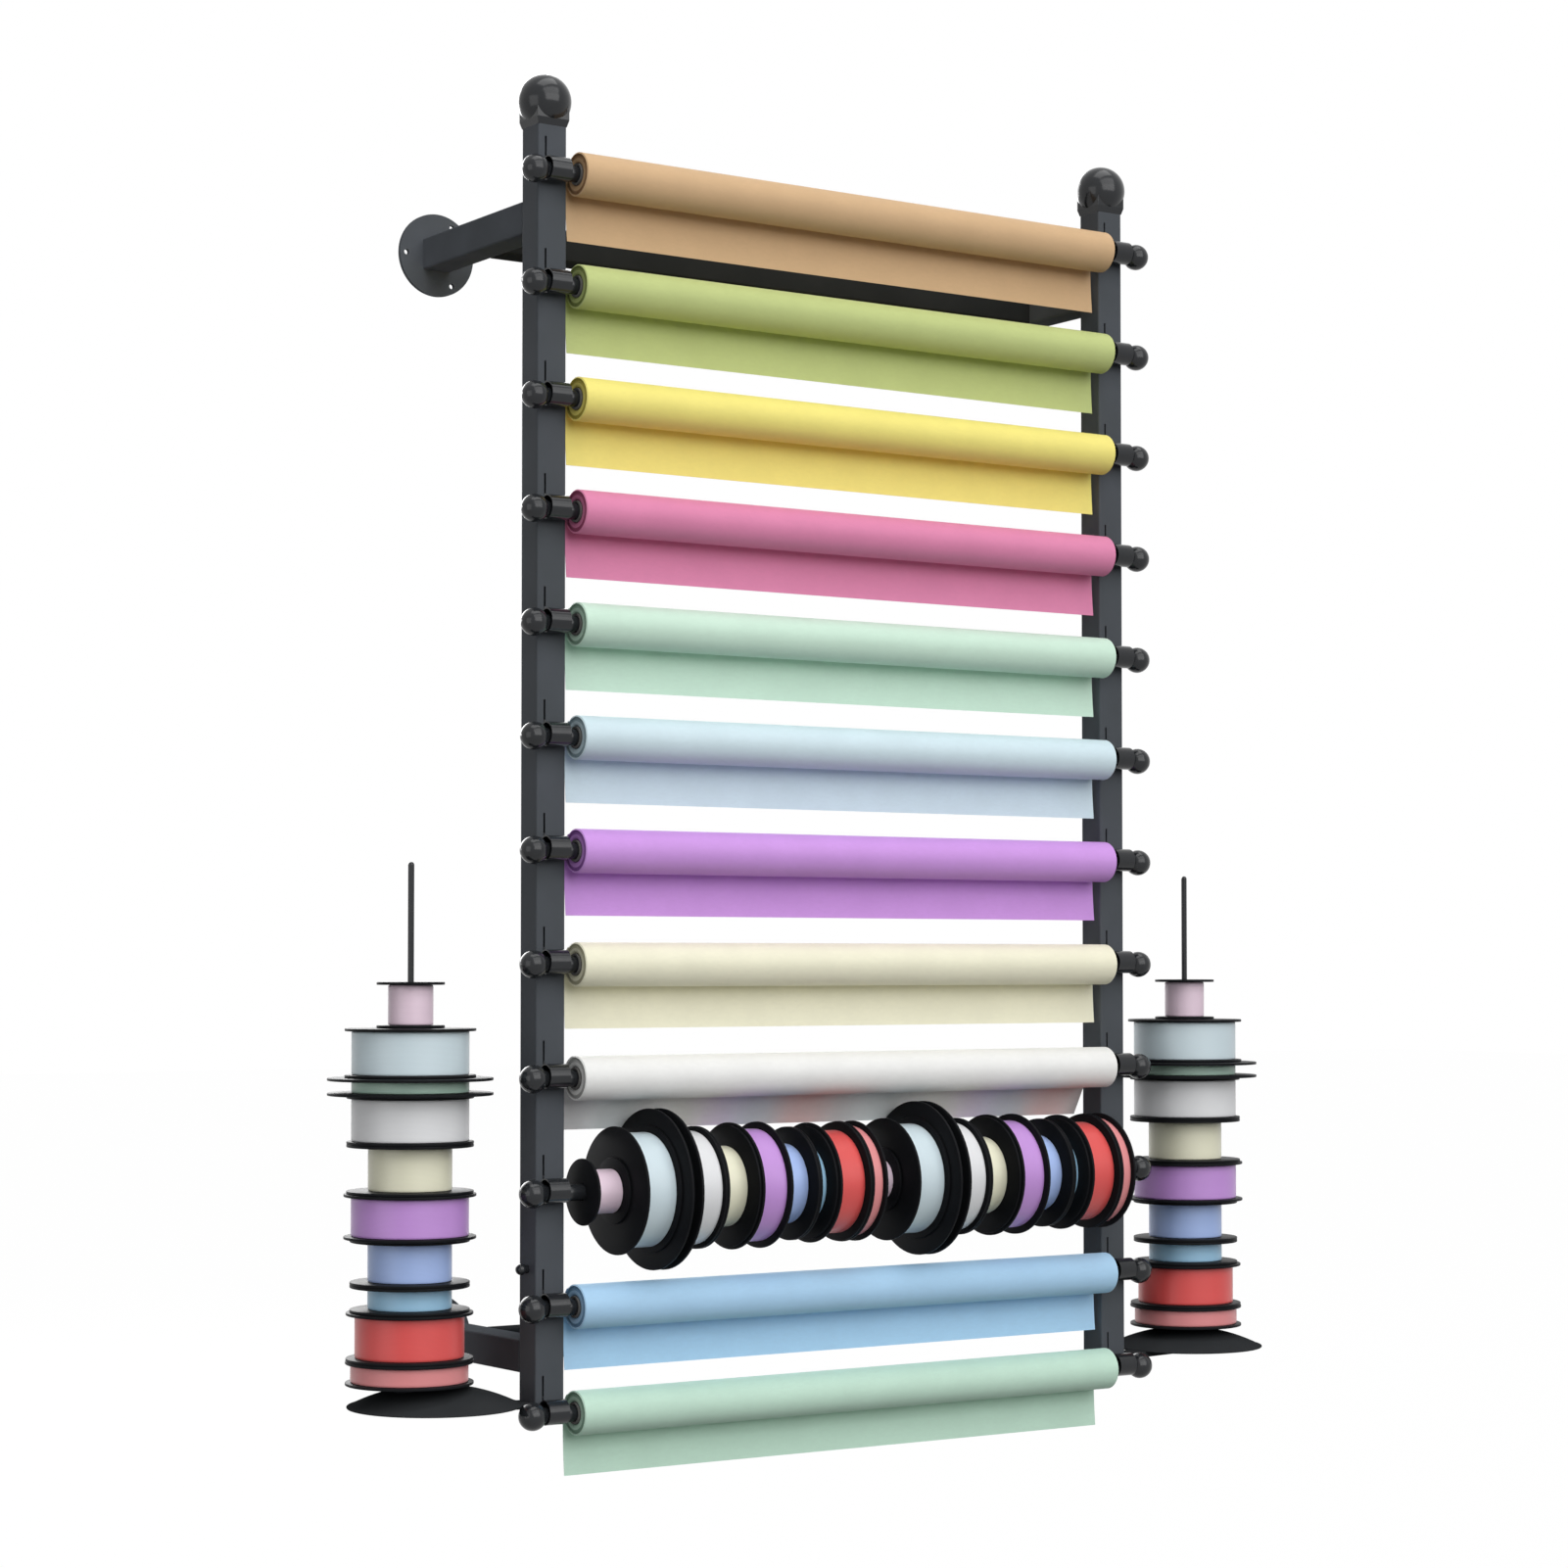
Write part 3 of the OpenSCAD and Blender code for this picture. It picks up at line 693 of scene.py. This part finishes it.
spoolRows = [  # flange diameter, ribbon diameter and width in mm, then the ribbon's colour
    (65, 43, 44, "#f8dfef", "pale pink"),
    (125, 112, 47, "#dcedf4", "pale blue"),
    (158, 112, 17, "#daffec", "grey green"),
    (121, 112, 46, "#f1f2f4", "white"),
    (121, 80, 47, "#fdfbe0", "cream"),
    (126, 112, 43, "#cf9be7", "purple"),
    (114, 80, 43, "#b2cbff", "periwinkle"),
    (114, 80, 26, "#aedfff", "light blue"),
    (121, 104, 46, "#ea5755", "red"),
    (122, 112, 23, "#ee9597", "salmon"),
]
spoolSet = {
    "steps": 72,
    "flange": 2.7 * mm,
    "bore": 8.5 * mm,
    "hub": 10.5 * mm,
    "gap": 0.2 * mm,
    "rim": 0.6 * mm,
    "ribbonEdge": 1.2 * mm,
    "round": 0.3,  # where the middle point of a rounded edge lies, as a share of its size
    "merge": 0.01 * mm,
}


def spinSection(name, section, start, axis, outward):  # section holds (along the axis, radius) pairs
    deselectAll()
    bpy.ops.mesh.primitive_circle_add(vertices=len(section), radius=1, fill_type="NOTHING")
    piece = settle(bpy.context.object, name)
    for vertex, (along, radius) in zip(piece.data.vertices, section):
        vertex.co = start + axis * along + outward * radius
    bpy.ops.object.mode_set(mode="EDIT")
    bpy.ops.mesh.select_all(action="SELECT")
    bpy.ops.mesh.spin(steps=spoolSet["steps"], angle=math.tau, center=start, axis=axis)
    bpy.ops.mesh.select_all(action="SELECT")
    bpy.ops.mesh.remove_doubles(threshold=spoolSet["merge"])
    bpy.ops.mesh.normals_make_consistent(inside=False)
    bpy.ops.object.mode_set(mode="OBJECT")
    smooth(piece, 35)
    return piece


def mirrored(half, width):  # the other end of a section, in the order that closes it
    return [(width - along, radius) for along, radius in reversed(half)]


def spoolSection(flangeR, width):
    flange = spoolSet["flange"]
    rim = spoolSet["rim"]
    bend = spoolSet["round"] * rim
    half = [(0, spoolSet["bore"]), (0, flangeR - rim), (bend, flangeR - bend), (rim, flangeR),
            (flange - rim, flangeR), (flange - bend, flangeR - bend), (flange, flangeR - rim),
            (flange, spoolSet["hub"])]
    return half + mirrored(half, width)


def ribbonSection(ribbonR, width):
    edge = spoolSet["flange"] + spoolSet["gap"]
    inner = spoolSet["hub"] + spoolSet["gap"]
    soft = spoolSet["ribbonEdge"]
    bend = spoolSet["round"] * soft
    half = [(edge, inner), (edge, ribbonR - soft), (edge + bend, ribbonR - bend), (edge + soft, ribbonR),
            (edge + 2 * soft, ribbonR)]
    return half + mirrored(half, width)


def spoolStack(place, side):
    spoolNode = f"spools_{place}_{side}"
    ribbonNode = f"ribbons_{place}_{side}"
    body = f"{place}_spools_{side}"
    low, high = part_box(spoolNode)
    middle = (low + high) / 2
    onRod = place == "rod"  # from the left end of a rod, or from the top of a spindle
    axis = Vector((1, 0, 0)) if onRod else Vector((0, 0, -1))
    outward = Vector((0, 0, 1)) if onRod else Vector((1, 0, 0))
    start = Vector((low.x, middle.y, middle.z)) if onRod else Vector((middle.x, middle.y, high.z))
    length = (high.x - low.x) if onRod else (high.z - low.z)
    gap = spoolSet["gap"]
    share = (length + gap) / sum(row[2] for row in spoolRows)
    for i, (flangeD, ribbonD, width, _, _) in enumerate(spoolRows):
        here = start + axis * share * sum(row[2] for row in spoolRows[:i])
        wide = share * width - gap
        tag = f"{place}_{side}_{i + 1:02d}"
        spool = spinSection(f"spool_{tag}", spoolSection(flangeD / 2 * mm, wide), here, axis, outward)
        paint(spool, blackPlastic)
        ribbon = spinSection(f"ribbon_{tag}", ribbonSection(ribbonD / 2 * mm, wide), here, axis, outward)
        paint(ribbon, ribbons[place][i])
        for piece, node in ((spool, spoolNode), (ribbon, ribbonNode)):
            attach(piece, body)
            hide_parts(node)


ribbons = {  # the threads run round, so the pattern follows the rod or the spindle
    "rod": [satinRibbon(f"Satin ribbon {row[4]} across", row[3], "X") for row in spoolRows],
    "tray": [satinRibbon(f"Satin ribbon {row[4]} upright", row[3], "Z") for row in spoolRows],
}
for place in ("rod", "tray"):
    for side in sides:
        spoolStack(place, side)
print("spools wound")

deselectAll()
